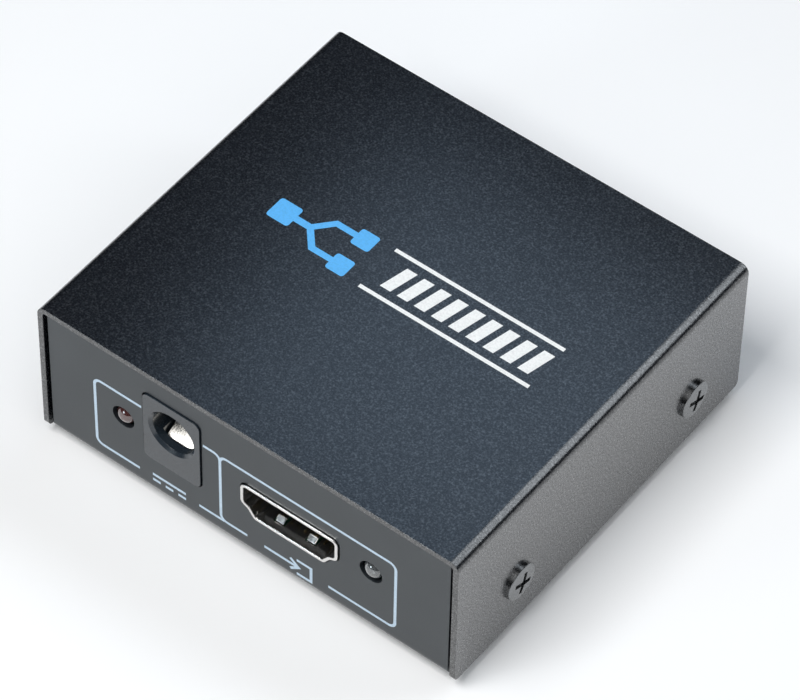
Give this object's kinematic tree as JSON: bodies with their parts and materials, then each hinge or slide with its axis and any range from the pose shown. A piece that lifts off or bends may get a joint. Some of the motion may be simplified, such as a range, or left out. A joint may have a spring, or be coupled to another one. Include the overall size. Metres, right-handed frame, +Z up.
{
  "type": "hdmi splitter",
  "caption": "Flat sheet-steel HDMI splitter box: power jack, input socket and lamps in front, output sockets and lamps behind, cover screws in the sides, rubber feet below.",
  "frame": {"origin": "on the surface that the feet stand on, under the middle of the bounding box", "axes": "+X to the right of someone facing the front panel, +Y from the front panel to the rear panel, +Z up"},
  "size_m": [0.0656, 0.0594, 0.0244],
  "materials": {
    "cover_paint": "fine textured powder coat",
    "tray_paint": "satin powder coat",
    "black_screw": "black zinc",
    "foot_rubber": "matt",
    "pillar_brass": "turned",
    "plated_steel": "bright plated",
    "spring_steel": "bright plated",
    "board_laminate": "solder mask over glass laminate",
    "jack_plastic": "moulded",
    "socket_nickel": "nickel plated",
    "socket_plastic": "moulded",
    "contact_gold": "gold flashed",
    "red_lens": "tinted epoxy",
    "clear_lens": "clear epoxy",
    "chip_resin": "moulded epoxy",
    "chip_pin": "tinned",
    "can_aluminium": "plain",
    "base_plastic": "moulded",
    "ferrite": "pressed ferrite",
    "crystal_can": "drawn",
    "capacitor_ceramic": "fired ceramic"
  },
  "bodies": {
    "case": {"top_cover": "cover_paint", "base_tray": "tray_paint", "cover_screws": "black_screw", "rubber_feet": "foot_rubber", "board_pillars": "pillar_brass", "board_screws": "plated_steel", "jack_centre_pin": "plated_steel", "jack_sleeve_terminal": "plated_steel", "jack_switch_contact": "plated_steel", "lamp_leads": "plated_steel", "circuit_board": "board_laminate", "jack_housing": "jack_plastic", "input_socket_shell": "socket_nickel", "output_1_socket_shell": "socket_nickel", "output_2_socket_shell": "socket_nickel", "input_socket_insulator": "socket_plastic", "output_1_socket_insulator": "socket_plastic", "output_2_socket_insulator": "socket_plastic", "input_socket_contacts": "contact_gold", "output_1_socket_contacts": "contact_gold", "output_2_socket_contacts": "contact_gold", "power_lamp": "red_lens", "input_lamp": "clear_lens", "output_1_lamp": "clear_lens", "output_2_lamp": "clear_lens", "splitter_chip": "chip_resin", "memory_chip": "chip_resin", "voltage_regulator": "chip_resin", "protection_diode": "chip_resin", "chip_resistors": "chip_resin", "splitter_chip_pins": "chip_pin", "memory_chip_pins": "chip_pin", "voltage_regulator_pins": "chip_pin", "filter_capacitor_cans": "can_aluminium", "filter_capacitor_bases": "base_plastic", "power_inductor": "ferrite", "timing_crystal": "crystal_can", "chip_capacitors": "capacitor_ceramic"},
    "sleeve_spring": {"jack_sleeve_spring": "spring_steel"}
  },
  "joints": [
    {"name": "sleeve_spring_flex", "type": "hinge", "parent": "case", "child": "sleeve_spring", "pos_m": [-0.0114, -0.0192, 0.01095], "axis": [1, 0, 0], "range_deg": [0, 5], "stiffness_Nm_per_rad": 0.2}
  ]
}
